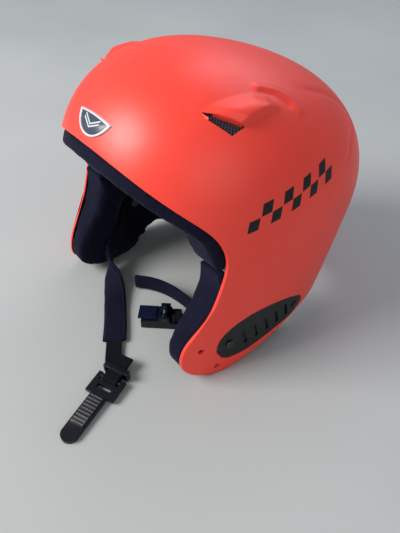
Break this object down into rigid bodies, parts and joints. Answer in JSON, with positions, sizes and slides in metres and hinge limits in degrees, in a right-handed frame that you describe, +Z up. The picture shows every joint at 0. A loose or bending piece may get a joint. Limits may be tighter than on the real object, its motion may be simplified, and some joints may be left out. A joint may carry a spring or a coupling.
{
  "type": "alpine race helmet",
  "caption": "Hard-ear ski race helmet with padded liner, ear grilles, top vents, chin guard inserts and a ladder-and-ratchet chin strap.",
  "frame": {"origin": "on the helmet's mid-plane, at the height of the surface it rests on, below the middle of the head opening", "axes": "+Z up as it rests on a table, the face opening looks towards -Y, +X is the wearer's left"},
  "size_m": [0.23, 0.3501, 0.2364],
  "materials": {
    "shell_paint": "matt fluorescent orange-red lacquer on injected plastic",
    "white_foam": "bead-moulded expanded polystyrene",
    "liner_fabric": "brushed navy-black liner fabric over soft foam",
    "hook_loop": "hook-and-loop",
    "badge_enamel": "domed resin badge with a pale border",
    "grille_plastic": "matt dark green-grey moulded plastic",
    "dark_steel": "blackened steel",
    "brass": "plain brass insert",
    "black_mesh": "woven mesh",
    "decal_black": "thin black decal",
    "webbing_black": "flat polyester webbing",
    "buckle_plastic": "satin black nylon",
    "lever_plastic": "satin dark blue nylon"
  },
  "bodies": {
    "helmet": {"outer_shell": "shell_paint", "eps_liner": "white_foam", "brow_pad": "liner_fabric", "crown_pad": "liner_fabric", "nape_pad": "liner_fabric", "back_pad": "liner_fabric", "pad_dots": "hook_loop", "front_badge": "badge_enamel", "side_pad_left": "liner_fabric", "side_pad_right": "liner_fabric", "cheek_pad_left": "liner_fabric", "cheek_pad_right": "liner_fabric", "ear_grille_left": "grille_plastic", "ear_grille_right": "grille_plastic", "grille_screws_left": "dark_steel", "grille_screws_right": "dark_steel", "ear_mesh_left": "black_mesh", "ear_mesh_right": "black_mesh", "vent_mesh_left": "black_mesh", "vent_mesh_right": "black_mesh", "side_decal_left": "decal_black", "side_decal_right": "decal_black", "guard_nuts_left": "brass", "guard_nuts_right": "brass", "strap_rivet_left": "dark_steel", "strap_rivet_right": "dark_steel", "rivet_washer_left": "dark_steel", "rivet_washer_right": "dark_steel"},
    "right_strap": {"strap_webbing_right": "webbing_black", "strap_sleeve": "liner_fabric", "strap_tail": "webbing_black", "strap_keeper": "buckle_plastic"},
    "tongue": {"ladder_tongue": "buckle_plastic"},
    "left_strap": {"strap_webbing_left": "webbing_black", "chin_flap": "liner_fabric"},
    "ratchet": {"ratchet_housing": "buckle_plastic", "lever_pin": "dark_steel", "lever_spring": "dark_steel"},
    "lever": {"release_lever": "lever_plastic"}
  },
  "joints": [
    {"name": "right_strap_swing", "type": "hinge", "parent": "helmet", "child": "right_strap", "pos_m": [-0.1006, 0.02168, 0.04468], "axis": [1, 0, 0], "range_deg": [-30, 25]},
    {"name": "left_strap_swing", "type": "hinge", "parent": "helmet", "child": "left_strap", "pos_m": [0.1006, 0.02168, 0.04468], "axis": [1, 0, 0], "range_deg": [-30, 25]},
    {"name": "tongue_pivot", "type": "hinge", "parent": "right_strap", "child": "tongue", "pos_m": [0.0595, -0.1085, 0.0042], "axis": [0.9134, 0.4072, 0], "range_deg": [-75, 60]},
    {"name": "ratchet_pivot", "type": "hinge", "parent": "left_strap", "child": "ratchet", "pos_m": [0.038, -0.022, 0.0042], "axis": [0.7426, -0.6697, 0], "range_deg": [-65, 50]},
    {"name": "release_lever_lift", "type": "hinge", "parent": "ratchet", "child": "lever", "pos_m": [0.02996, -0.03091, 0.0113], "axis": [-0.7426, 0.6697, 0], "range_deg": [0, 28], "stiffness_Nm_per_rad": 0.02, "springref_deg": -14.32}
  ]
}
